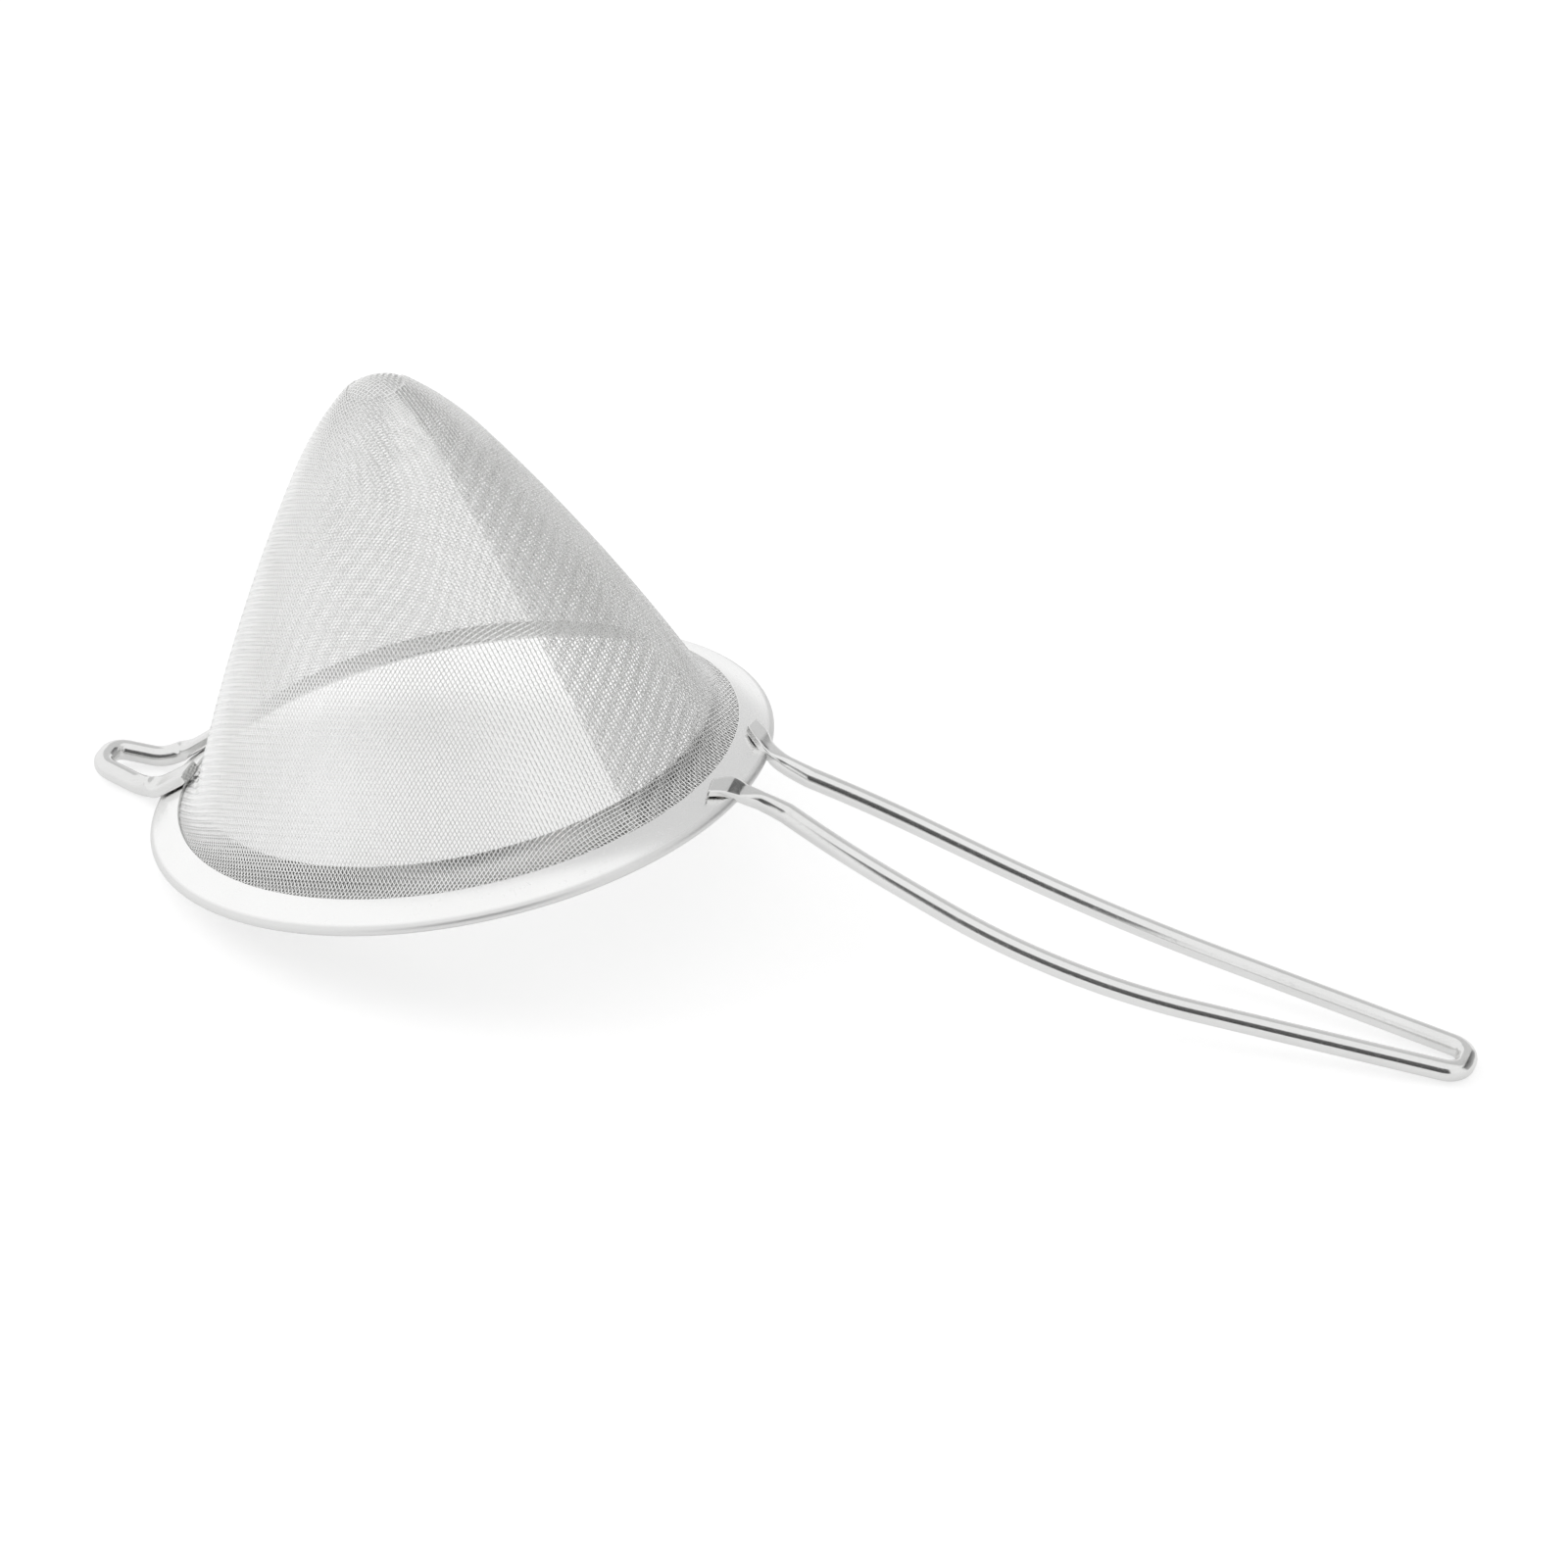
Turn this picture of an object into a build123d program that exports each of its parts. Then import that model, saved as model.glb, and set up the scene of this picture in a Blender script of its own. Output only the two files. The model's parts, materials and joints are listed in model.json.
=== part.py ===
"""Conical fine mesh strainer: a wire cloth cone held in a crimped steel rim, with a wire
handle and a wire pot hook. The strainer is drawn about the cone's axis, with its mouth down
and the handle towards +X, and is then laid down the way it rests, on its hook and the tip
of its handle. Lengths are in millimetres and angles in degrees."""
from build123d import *
from math import atan2, cos, degrees, radians, sin, tan
import os

# Rim: an outer band folded over a support ring and the edge of the wire cloth
rim_radius = 45.0
band_sheet = 0.4
ring_sheet = 0.35
cloth_thickness = 0.3
seam_gap = 0.02
band_slope = 27.3
band_width = 4.63
hem_lip = 2.2
cloth_edge_inset = 0.5
collar_length = 0.5

# Cone of wire cloth: angles of its wall to the mouth, from the flare up to the round tip
flare_inset = 0.9
flare_radius = 5.0
wall_base_angle = 66.8
shoulder_angle = 57.8
shoulder_radius = 51.3
tip_angle = 42.4
tip_radius = 7.6

# Grid of openings that stands for the weave, on the wall between the collar and the tip
grid_columns = 24
grid_rows = 6
grid_rib_share = 0.16
grid_bar = 1.3
grid_collar_margin = 1.2
grid_tip_margin = 4.0
grid_overrun = 1.0

# Wire of the handle and of the hook
wire_diameter = 3.0
tab_gap = 0.15
tab_corner = 0.6
weld_diameter = 1.8
bend_run_share = 0.95

# Handle: corners of one leg's line, out from the rim's edge and out from the middle
handle_root_out = 4.6
handle_root_half = 5.15
handle_root_drop = 3.3
handle_neck_out = 12.7
handle_neck_half = 7.0
handle_bow_out = 42.25
handle_bow_half = 9.45
handle_tip_out = 95.0
handle_tip_half = 3.05
handle_upper_fall = 32.6
handle_lower_fall = 19.3
handle_neck_radius = 140.0
handle_bow_radius = 130.0
handle_tip_radius = 2.85
handle_tab_azimuth = 8.9
handle_tab_splay = 35.0
handle_tab_length = 4.7
handle_tab_width = 4.4
handle_tab_end_width = 3.0
handle_tab_skew = 1.5
handle_tab_sheet = 1.1

# Hook: corners of one leg's line, out from the rim's edge and out from the middle
hook_root_out = 1.3
hook_root_half = 5.3
hook_root_rise = 1.25
hook_foot_out = 3.5
hook_foot_half = 4.25
hook_foot_rise = 0.85
hook_end_out = 10.2
hook_end_half = 2.65
hook_end_rise = 3.45
hook_foot_radius = 6.0
hook_end_radius = 2.5
hook_tab_azimuth = 7.6
hook_tab_splay = 8.0
hook_tab_length = 5.9
hook_tab_width = 3.9
hook_tab_sheet = 1.6

wire_radius = wire_diameter / 2
fold_inner = (ring_sheet + cloth_thickness + 3 * seam_gap) / 2
fold_radius = fold_inner + band_sheet
slope = radians(band_slope)


def on_rim(inward, height):
    """A point of the rim's section, from the middle of its fold in along the slope and up
    along the slope's normal."""
    across = rim_radius - fold_radius - inward * cos(slope) + height * sin(slope)
    return across, fold_radius + inward * sin(slope) + height * cos(slope)


def turned(edges, arc=360):
    """The solid that a closed half section sweeps about the cone's axis, through an arc. Its X
    is the distance from that axis."""
    return revolve(make_face(Plane.XZ * Wire(edges)), Axis.Z, revolution_arc=arc)


def arc_about(centre, radius, start, end, side):
    """An arc of the cone's wall between two wall angles. The side is 1 where the wall bulges
    out and -1 where it is hollow."""
    def point(angle):
        return (centre[0] + side * radius * sin(radians(angle)),
                centre[1] + side * radius * cos(radians(angle)))
    return ThreePointArc(point(start), point((start + end) / 2), point(end))


# The centres of the arcs of the cloth's outer face
cloth_height = fold_inner - seam_gap
skirt_width = band_width + flare_inset
flare_foot = on_rim(skirt_width, cloth_height)
flare_centre = (flare_foot[0] + flare_radius * sin(slope),
                flare_foot[1] + flare_radius * cos(slope))
wall_foot = (flare_centre[0] - flare_radius * sin(radians(wall_base_angle)),
             flare_centre[1] - flare_radius * cos(radians(wall_base_angle)))
sine_base, sine_shoulder, sine_tip = (
    sin(radians(angle)) for angle in (wall_base_angle, shoulder_angle, tip_angle))
wall_reach = wall_foot[0] - shoulder_radius * (sine_shoulder - sine_tip) - tip_radius * sine_tip
wall_radius = wall_reach / (sine_base - sine_shoulder)
wall_centre = (wall_foot[0] - wall_radius * sine_base,
               wall_foot[1] - wall_radius * cos(radians(wall_base_angle)))
shoulder_step = wall_radius - shoulder_radius
shoulder_centre = (wall_centre[0] + shoulder_step * sine_shoulder,
                   wall_centre[1] + shoulder_step * cos(radians(shoulder_angle)))
tip_centre = (0, shoulder_centre[1] + (shoulder_radius - tip_radius) * cos(radians(tip_angle)))


def wall_arcs(depth, last_angle):
    """The flare and the wall at a depth below the cloth's outer face, up to a wall angle."""
    arcs = [arc_about(flare_centre, flare_radius + depth, band_slope, wall_base_angle, -1),
            arc_about(wall_centre, wall_radius - depth, wall_base_angle,
                      max(last_angle, shoulder_angle), 1)]
    if last_angle < shoulder_angle:
        arcs.append(arc_about(shoulder_centre, shoulder_radius - depth, shoulder_angle, tip_angle, 1))
        arcs.append(arc_about(tip_centre, tip_radius - depth, tip_angle, last_angle, 1))
    return arcs


def shell(outer_depth, inner_depth, edge_inset, last_angle):
    """A turned shell between two depths, from inside the fold up to a wall angle."""
    outer, inner = wall_arcs(outer_depth, last_angle), wall_arcs(inner_depth, last_angle)
    outer_edge = on_rim(edge_inset, cloth_height - outer_depth)
    inner_edge = on_rim(edge_inset, cloth_height - inner_depth)
    edges = [Line(outer_edge, outer[0] @ 0), *outer, Line(outer[-1] @ 1, inner[-1] @ 1),
             *inner, Line(inner[0] @ 0, inner_edge), Line(inner_edge, outer_edge)]
    return turned(edges)


def fold_arc(radius):
    """The half turn of the fold at a radius, from its upper side round to its lower one."""
    fold = on_rim(0, 0)
    turns = (slope, slope + radians(90), slope + radians(180))
    return ThreePointArc(*[(fold[0] + radius * sin(turn), fold[1] + radius * cos(turn)) for turn in turns])


def make_clamp_band():
    """The outer band, folded under at its edge."""
    outer, inner = fold_arc(fold_radius), fold_arc(fold_inner)
    top_edge, top_inside = on_rim(band_width, fold_radius), on_rim(band_width, fold_inner)
    lip_edge, lip_inside = on_rim(hem_lip, -fold_radius), on_rim(hem_lip, -fold_inner)
    return turned([Line(top_edge, outer @ 0), outer, Line(outer @ 1, lip_edge),
                   Line(lip_edge, lip_inside), Line(lip_inside, inner @ 1), inner,
                   Line(inner @ 0, top_inside), Line(top_inside, top_edge)])


def make_support_ring():
    """The ring under the cloth's edge, with a collar that stands up inside the cone."""
    top = cloth_thickness + seam_gap
    collar_angle = wall_base_angle - degrees(collar_length / wall_radius)
    return shell(top, top + ring_sheet, 0, collar_angle)


def wall_point(run, depth):
    """A point of the wall at a distance up from its foot and a depth below its outer face."""
    wall_run = wall_radius * radians(wall_base_angle - shoulder_angle)
    centre, radius, angle = wall_centre, wall_radius, radians(wall_base_angle) - run / wall_radius
    if run > wall_run:
        centre, radius = shoulder_centre, shoulder_radius
        angle = radians(shoulder_angle) - (run - wall_run) / shoulder_radius
    return centre[0] + (radius - depth) * sin(angle), centre[1] + (radius - depth) * cos(angle)


def grid_cutters():
    """The sectors that cut the grid of openings out of the wall."""
    wall_run = wall_radius * radians(wall_base_angle - shoulder_angle)
    shoulder_run = shoulder_radius * radians(shoulder_angle - tip_angle)
    start = collar_length + grid_collar_margin
    pitch = (wall_run + shoulder_run - grid_tip_margin - start) / grid_rows
    arc = 360 / grid_columns
    cutters = []
    for row in range(grid_rows):
        low, high = start + row * pitch, start + (row + 1) * pitch - grid_bar
        outline = Polyline(*[wall_point(run, depth) for run, depth in (
            (low, -grid_overrun), (high, -grid_overrun), (high, cloth_thickness + grid_overrun),
            (low, cloth_thickness + grid_overrun))], close=True)
        sector = turned(outline.edges(), arc * (1 - grid_rib_share))
        cutters += [Rot(0, 0, arc * (column + grid_rib_share / 2)) * sector
                    for column in range(grid_columns)]
    return cutters


def make_mesh_cone():
    """The pressed cone of wire cloth, as one thin shell with a grid of openings."""
    return shell(0, cloth_thickness, cloth_edge_inset, 0) - grid_cutters()


def rim_room(clearance):
    """The room that the rim and a clearance round it take up in a tab or a weld."""
    radius = fold_radius + clearance
    arc = fold_arc(radius)
    top, bottom = on_rim(2 * band_width, radius), on_rim(2 * band_width, -radius)
    return turned([Line(top, arc @ 0), arc, Line(arc @ 1, bottom), Line(bottom, top)])


def tab_plane(azimuth, splay, height):
    """A plane on the rim's slope over its fold, with X out along the tab and Z up from it."""
    across, up = on_rim(0, height)
    turn = radians(azimuth)
    normal = Vector(sin(slope) * cos(turn), sin(slope) * sin(turn), cos(slope))
    heading = radians(splay)
    along = Vector(cos(heading), sin(heading), 0)
    along = along - normal * along.dot(normal)
    return Plane((across * cos(turn), across * sin(turn), up), x_dir=along, z_dir=normal)


def tab_plate(plane, length, width, end_width, skew, sheet):
    """A flat tab from the fold in over the slope, its end cut askew, with round corners."""
    outline = Polyline((0, -width / 2), (0, width / 2), (skew - length, end_width / 2),
                       (-length, -end_width / 2), close=True)
    plate = extrude(plane * make_face(outline), sheet)
    corners = plate.edges().filter_by(Axis(plane.origin, plane.z_dir))
    return fillet(corners.sort_by(Axis(plane.origin, plane.x_dir))[:2], tab_corner)


def bend_radius(corners, index, radius):
    """The radius of a bend, no larger than the shorter of its two runs has room for."""
    before = Vector(*corners[index]) - Vector(*corners[index - 1])
    after = Vector(*corners[index + 1]) - Vector(*corners[index])
    half_turn = radians(before.get_angle(after) / 2)
    return min(radius, bend_run_share * min(before.length, after.length) / tan(half_turn))


def wire_leg(points, radii):
    """The wire's centre line through the corners of one leg, and back along the other."""
    mirrored = [(x, -y, z) for x, y, z in reversed(points)]
    corners = points + mirrored
    bends = [bend_radius(corners, index, radius)
             for index, radius in enumerate(radii + radii[::-1], start=1)]
    return FilletPolyline(*corners, radius=bends)


def bent_wire(path, plane, plate, width, sheet):
    """A round wire along a path, its first end pressed flat into a tab, and its mirror half."""
    start = Plane(path @ 0, z_dir=path % 0)
    wire = sweep(start * Circle(wire_radius), path=path)
    root = Plane(plane.origin + plane.z_dir * (sheet / 2), x_dir=plane.y_dir, z_dir=plane.x_dir)
    blend = loft([root * Rectangle(width, sheet), start * Circle(wire_radius)])
    tab = plate + blend - rim_room(tab_gap)
    return wire + tab + mirror(tab, Plane.XZ)


def weld_spots(plane, inward):
    """The weld between a tab and the rim, and its mirror image."""
    column = extrude(plane * Pos(-inward, 0) * Circle(weld_diameter / 2), -2 * tab_gap)
    spot = column - rim_room(0)
    return spot, mirror(spot, Plane.XZ)


def fall(length, angle):
    """The drop over a horizontal length at an angle."""
    return length * tan(radians(angle))


# Levels of the handle's corners
root_level = fold_radius - handle_root_drop
neck_level = root_level - fall(handle_neck_out - handle_root_out, handle_upper_fall)
bow_level = neck_level - fall(handle_bow_out - handle_neck_out, handle_upper_fall)
tip_level = bow_level - fall(handle_tip_out - handle_bow_out, handle_lower_fall)


def make_handle():
    """The handle wire and the welds under its two tabs."""
    path = wire_leg([(rim_radius + handle_root_out, -handle_root_half, root_level),
                     (rim_radius + handle_neck_out, -handle_neck_half, neck_level),
                     (rim_radius + handle_bow_out, -handle_bow_half, bow_level),
                     (rim_radius + handle_tip_out, -handle_tip_half, tip_level)],
                    [handle_neck_radius, handle_bow_radius, handle_tip_radius])
    plane = tab_plane(-handle_tab_azimuth, handle_tab_splay, fold_radius + tab_gap)
    plate = tab_plate(plane, handle_tab_length, handle_tab_width, handle_tab_end_width,
                      handle_tab_skew, handle_tab_sheet)
    wire = bent_wire(path, plane, plate, handle_tab_width, handle_tab_sheet)
    return wire, weld_spots(plane, handle_tab_length / 2)


def make_hook():
    """The hook wire and the welds under its two tabs."""
    path = wire_leg([(-rim_radius - hook_root_out, -hook_root_half, fold_radius + hook_root_rise),
                     (-rim_radius - hook_foot_out, -hook_foot_half, fold_radius + hook_foot_rise),
                     (-rim_radius - hook_end_out, -hook_end_half, fold_radius + hook_end_rise)],
                    [hook_foot_radius, hook_end_radius])
    plane = tab_plane(180 + hook_tab_azimuth, 180 - hook_tab_splay, fold_radius + tab_gap)
    plate = tab_plate(plane, hook_tab_length, hook_tab_width, hook_tab_width, 0, hook_tab_sheet)
    wire = bent_wire(path, plane, plate, hook_tab_width, hook_tab_sheet)
    return wire, weld_spots(plane, hook_tab_length / 2)


def at_rest(parts):
    """The parts laid down on the hook's foot and the handle's tip, over the origin."""
    foot = (-rim_radius - hook_foot_out, fold_radius + hook_foot_rise)
    tip = (rim_radius + handle_tip_out, tip_level)
    tilt = degrees(atan2(foot[1] - tip[1], tip[0] - foot[0]))
    turned_parts = {name: Rot(0, -tilt, 0) * part for name, part in parts.items()}
    box = Compound(list(turned_parts.values())).bounding_box()
    middle = box.center()
    print(f"tilt {tilt:.2f}, size {box.size}, cone axis at {-middle.X:.2f}, rim level {-box.min.Z:.2f}")
    return {name: Pos(-middle.X, 0, -box.min.Z) * part for name, part in turned_parts.items()}


handle_wire, handle_welds = make_handle()
hook_wire, hook_welds = make_hook()
parts = at_rest({
    "clamp_band": make_clamp_band(),
    "support_ring": make_support_ring(),
    "mesh_cone": make_mesh_cone(),
    "handle_wire": handle_wire,
    "hook_wire": hook_wire,
    "handle_welds": Compound(list(handle_welds)),
    "hook_welds": Compound(list(hook_welds)),
})

os.makedirs("parts", exist_ok=True)
for name, part in parts.items():
    export_step(part, f"parts/{name}.step")
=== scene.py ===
"""Looks of a conical fine mesh strainer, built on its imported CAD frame.

The cloth of the cone is woven wire by wire and stands for the CAD's shell with its coarse grid,
and the spun band and the bent wires stand for the CAD's. Sizes in the classes are in millimetres
in the rim's own frame, whose +Z is the cone's axis and whose +X points to the handle. RimFrame
takes them to the row frame, which is in metres.
"""
import json
import logging
import math
from dataclasses import dataclass, field
from enum import Enum

import bmesh
import bpy
from mathutils import Matrix, Vector


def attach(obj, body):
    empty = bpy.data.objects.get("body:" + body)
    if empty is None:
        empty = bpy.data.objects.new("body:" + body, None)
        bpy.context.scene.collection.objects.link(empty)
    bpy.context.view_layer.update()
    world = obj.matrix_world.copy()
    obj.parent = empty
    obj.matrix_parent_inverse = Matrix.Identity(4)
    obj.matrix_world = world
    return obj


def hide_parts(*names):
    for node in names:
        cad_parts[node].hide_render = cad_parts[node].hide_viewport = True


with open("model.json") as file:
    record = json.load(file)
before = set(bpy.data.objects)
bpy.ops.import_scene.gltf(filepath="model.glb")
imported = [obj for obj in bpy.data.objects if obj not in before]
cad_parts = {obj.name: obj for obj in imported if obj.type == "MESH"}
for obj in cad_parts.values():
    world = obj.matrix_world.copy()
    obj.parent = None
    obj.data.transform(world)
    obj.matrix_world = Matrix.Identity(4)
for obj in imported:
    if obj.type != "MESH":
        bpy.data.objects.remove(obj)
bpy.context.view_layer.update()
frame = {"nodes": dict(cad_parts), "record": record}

log = logging.getLogger("strainer")

FOLD_SHARE = "fold_share"
MM = 0.001


def smooth_step(value: float) -> float:
    """Zero below 0, one above 1, and a soft ramp between."""
    share = min(1.0, max(0.0, value))
    return share * share * (3.0 - 2.0 * share)


def linked(name: str, data: bpy.types.ID) -> bpy.types.Object:
    """Makes an object of some data and puts it in the scene.

    Args:
        name: the object's name.
        data: its mesh, curve, lamp or camera.

    Returns:
        The new object.
    """
    thing = bpy.data.objects.new(name, data)
    bpy.context.scene.collection.objects.link(thing)
    return thing


def meshed(name: str, shape: bmesh.types.BMesh, material: bpy.types.Material) -> bpy.types.Object:
    """Turns a finished shape into an object.

    Args:
        name: the object's name.
        shape: the shape, which is freed.
        material: the object's material.

    Returns:
        The new object.
    """
    mesh = bpy.data.meshes.new(name)
    shape.to_mesh(mesh)
    shape.free()
    mesh.materials.append(material)
    return linked(name, mesh)


def aimed(place: tuple[float, float, float], aim: tuple[float, float, float], axis: str) -> Matrix:
    """The matrix of a thing at a place, whose axis points at an aim."""
    way = Vector(aim) - Vector(place)
    return Matrix.Translation(place) @ way.to_track_quat(axis, "Y").to_matrix().to_4x4()


@dataclass(frozen=True)
class RimFrame:
    """The rim's own frame in millimetres and its place in the row frame."""

    matrix: Matrix

    @classmethod
    def from_record(cls, record: dict) -> "RimFrame":
        """Reads the frame from the record's mount at the rim's mouth.

        Args:
            record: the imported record.

        Returns:
            The frame, with its origin in the middle of the rim's foot.
        """
        mount = next(m for m in record["mounts"] if m["name"] == "rim_mouth")
        up = -Vector(mount["axis"]).normalized()
        side = Vector((0.0, 1.0, 0.0))
        turn = Matrix((side.cross(up), side, up)).transposed().to_4x4()
        return cls(Matrix.Translation(mount["pos_m"]) @ turn @ Matrix.Scale(MM, 4))

    def place(self, x: float, y: float, z: float) -> Vector:
        """A point of the rim's frame in the row frame."""
        return self.matrix @ Vector((x, y, z))


class Grain(Enum):
    """Which way the fine lines of a steel finish run."""

    SPUN = "round the cone's axis"
    DRAWN = "along the wire"
    MATT = "no lines"


class NodeWeb:
    """A short way to write the nodes of a material or a group."""

    def __init__(self, tree: bpy.types.NodeTree) -> None:
        """Starts on an empty tree."""
        self.tree = tree
        tree.nodes.clear()

    def add(self, kind: str, feeds: dict | None = None, **settings: object) -> bpy.types.Node:
        """Adds a node.

        Args:
            kind: the node's type name without its ShaderNode head.
            feeds: a socket or a value for each input, by the input's name or number.
            **settings: properties of the node, by name.

        Returns:
            The new node.
        """
        name = kind if kind.startswith("Node") else f"ShaderNode{kind}"
        node = self.tree.nodes.new(name)
        for key, value in settings.items():
            setattr(node, key, value)
        for key, value in (feeds or {}).items():
            self.feed(value, node.inputs[key])
        return node

    def feed(self, value: object, target: bpy.types.NodeSocket) -> None:
        """Links an output to an input, or sets the input.

        Args:
            value: the output or the value.
            target: the input.
        """
        if isinstance(value, bpy.types.NodeSocket):
            self.tree.links.new(value, target)
        else:
            target.default_value = value

    def maths(self, operation: str, first: object, second: object = None) -> bpy.types.NodeSocket:
        """Adds a Math node.

        Args:
            operation: the node's operation.
            first: a socket or a number.
            second: a socket or a number, where the operation has two.

        Returns:
            The node's output.
        """
        feeds = {0: first} if second is None else {0: first, 1: second}
        return self.add("Math", feeds, operation=operation).outputs[0]

    def blend(self, share: bpy.types.NodeSocket, first: object, second: object) -> bpy.types.NodeSocket:
        """Mixes two colours, each a socket or a value."""
        feeds = {"Factor": share, "A": first, "B": second}
        return self.add("Mix", feeds, data_type="RGBA").outputs["Result"]

    def ramp(self, source: bpy.types.NodeSocket, low: float, high: float,
             out_low: float = 0.0, out_high: float = 1.0) -> bpy.types.NodeSocket:
        """Maps a range of a value to another, clamped.

        Args:
            source: the value.
            low: the value that gives out_low.
            high: the value that gives out_high.
            out_low: the result at low.
            out_high: the result at high.

        Returns:
            The mapped value.
        """
        feeds = {"Value": source, "From Min": low, "From Max": high, "To Min": out_low,
                 "To Max": out_high}
        return self.add("MapRange", feeds).outputs["Result"]


class SteelWear:
    """A node group with the marks that all the strainer's steel carries.

    Each mask has its name, its scale's name, its noise's detail and twist, and the levels of the
    noise where it starts and is full.
    """

    NAME = "steel_wear"
    MASKS = (("Stain", "Cloud Scale", 4.0, 0.0, 0.4, 0.75),
             ("Scuff", "Scuff Scale", 6.0, 1.5, 0.56, 0.68))

    @classmethod
    def group(cls) -> bpy.types.NodeTree:
        """Builds the group once.

        Returns:
            The group, which puts out a cloudy Stain mask and a fine Scuff mask.
        """
        if cls.NAME in bpy.data.node_groups:
            return bpy.data.node_groups[cls.NAME]
        tree = bpy.data.node_groups.new(cls.NAME, "ShaderNodeTree")
        tree.interface.new_socket("Vector", in_out="INPUT", socket_type="NodeSocketVector")
        for mask, scale, *_ in cls.MASKS:
            tree.interface.new_socket(scale, in_out="INPUT", socket_type="NodeSocketFloat")
            tree.interface.new_socket(mask, in_out="OUTPUT", socket_type="NodeSocketFloat")
        web = NodeWeb(tree)
        start = web.add("NodeGroupInput")
        end = web.add("NodeGroupOutput")
        for mask, scale, detail, twist, low, high in cls.MASKS:
            noise = web.add("TexNoise", {"Vector": start.outputs["Vector"], "Detail": detail,
                                         "Scale": start.outputs[scale], "Distortion": twist})
            web.feed(web.ramp(noise.outputs["Fac"], low, high), end.inputs[mask])
        return tree


@dataclass(frozen=True)
class SteelFinish:
    """One finish of steel: its colour, its gloss, the lines of its making, and a painted shade along a
    fold where a fold colour is given.
    """

    name: str
    slot: str
    colour: tuple[float, float, float]
    dark_colour: tuple[float, float, float]
    roughness: float
    roughness_spread: float
    grain: Grain
    grain_scale: float
    grain_height: float
    cloud_scale: float = 60.0
    scuff_scale: float = 900.0
    # A darker colour on the fold is painted shade along the band's folded lower edge.
    fold_shade_colour: tuple[float, float, float] | None = None
    fold_dullness: float = 0.22
    grain_detail: float = 5.0
    scuff_depth: float = 0.3
    spun_stretch: float = 0.0006
    drawn_stretch: float = 0.06

    def material(self, rim: RimFrame) -> bpy.types.Material:
        """Builds the material once.

        Args:
            rim: the rim's frame, which spun lines run round.

        Returns:
            The finished material.
        """
        if self.name in bpy.data.materials:
            return bpy.data.materials[self.name]
        material = bpy.data.materials.new(self.name)
        material.use_nodes = True
        web = NodeWeb(material.node_tree)
        turned = web.add("Mapping", {
            "Vector": web.add("TexCoord").outputs["Object"], "Location": rim.matrix.to_translation(),
            "Rotation": rim.matrix.to_euler()}, vector_type="TEXTURE").outputs["Vector"]
        wear = web.add("Group", {
            "Vector": turned, "Cloud Scale": self.cloud_scale, "Scuff Scale": self.scuff_scale},
            node_tree=SteelWear.group()).outputs
        lines = web.add("TexNoise", {
            "Vector": self.line_vector(web, turned), "Scale": self.grain_scale,
            "Detail": self.grain_detail}).outputs["Fac"]
        colour = web.blend(web.maths("MULTIPLY", wear["Stain"], lines),
                           (*self.colour, 1.0), (*self.dark_colour, 1.0))
        gloss = web.maths("ADD", web.maths("MULTIPLY", lines, self.roughness_spread),
                          web.maths("MULTIPLY", wear["Scuff"], self.roughness_spread))
        dullness = web.maths("ADD", gloss, self.roughness)
        # Painted shade: along the fold the colour blends to the darker fold colour, and the gloss dulls.
        if self.fold_shade_colour is not None:
            share = web.add("Attribute", attribute_name=FOLD_SHARE).outputs["Fac"]
            colour = web.blend(share, colour, (*self.fold_shade_colour, 1.0))
            dullness = web.maths("ADD", dullness, web.maths("MULTIPLY", share, self.fold_dullness))
        scuff = web.maths("MULTIPLY", wear["Scuff"], -self.scuff_depth)
        bump = web.add("Bump", {"Height": web.maths("ADD", lines, scuff), "Strength": 1.0,
                                "Distance": self.grain_height * MM})
        shader = web.add("BsdfPrincipled", {
            "Base Color": colour, "Metallic": 1.0, "Roughness": dullness,
            "Normal": bump.outputs["Normal"]})
        web.add("OutputMaterial", {"Surface": shader.outputs["BSDF"]})
        return material

    def line_vector(self, web: NodeWeb, place: bpy.types.NodeSocket) -> bpy.types.NodeSocket:
        """Stretches the coordinates of the grain's noise along its lines.

        Args:
            web: the material's nodes.
            place: the coordinates in the rim's frame, in metres.

        Returns:
            The stretched coordinates.
        """
        if self.grain is Grain.SPUN:
            x, y, z = web.add("SeparateXYZ", {0: place}).outputs
            square = web.maths("ADD", web.maths("MULTIPLY", x, x), web.maths("MULTIPLY", y, y))
            turn = web.maths("ABSOLUTE", web.maths("ARCTAN2", y, x))
            ring = web.add("CombineXYZ", {"X": web.maths("SQRT", square), "Z": z,
                                          "Y": web.maths("MULTIPLY", turn, self.spun_stretch)})
            return ring.outputs[0]
        along = self.drawn_stretch if self.grain is Grain.DRAWN else 1.0
        feeds = {"Vector": place, "Scale": (along, 1.0, 1.0)}
        return web.add("Mapping", feeds, vector_type="POINT").outputs["Vector"]


# The band's fold colour paints shade along its folded lower edge.
BAND_STEEL = SteelFinish("band_steel_spun", "band_steel", (0.95, 0.95, 0.945), (0.9, 0.9, 0.895),
                         0.2, 0.06, Grain.SPUN, 6000.0, 0.0005, fold_shade_colour=(0.78, 0.78, 0.775))
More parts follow.
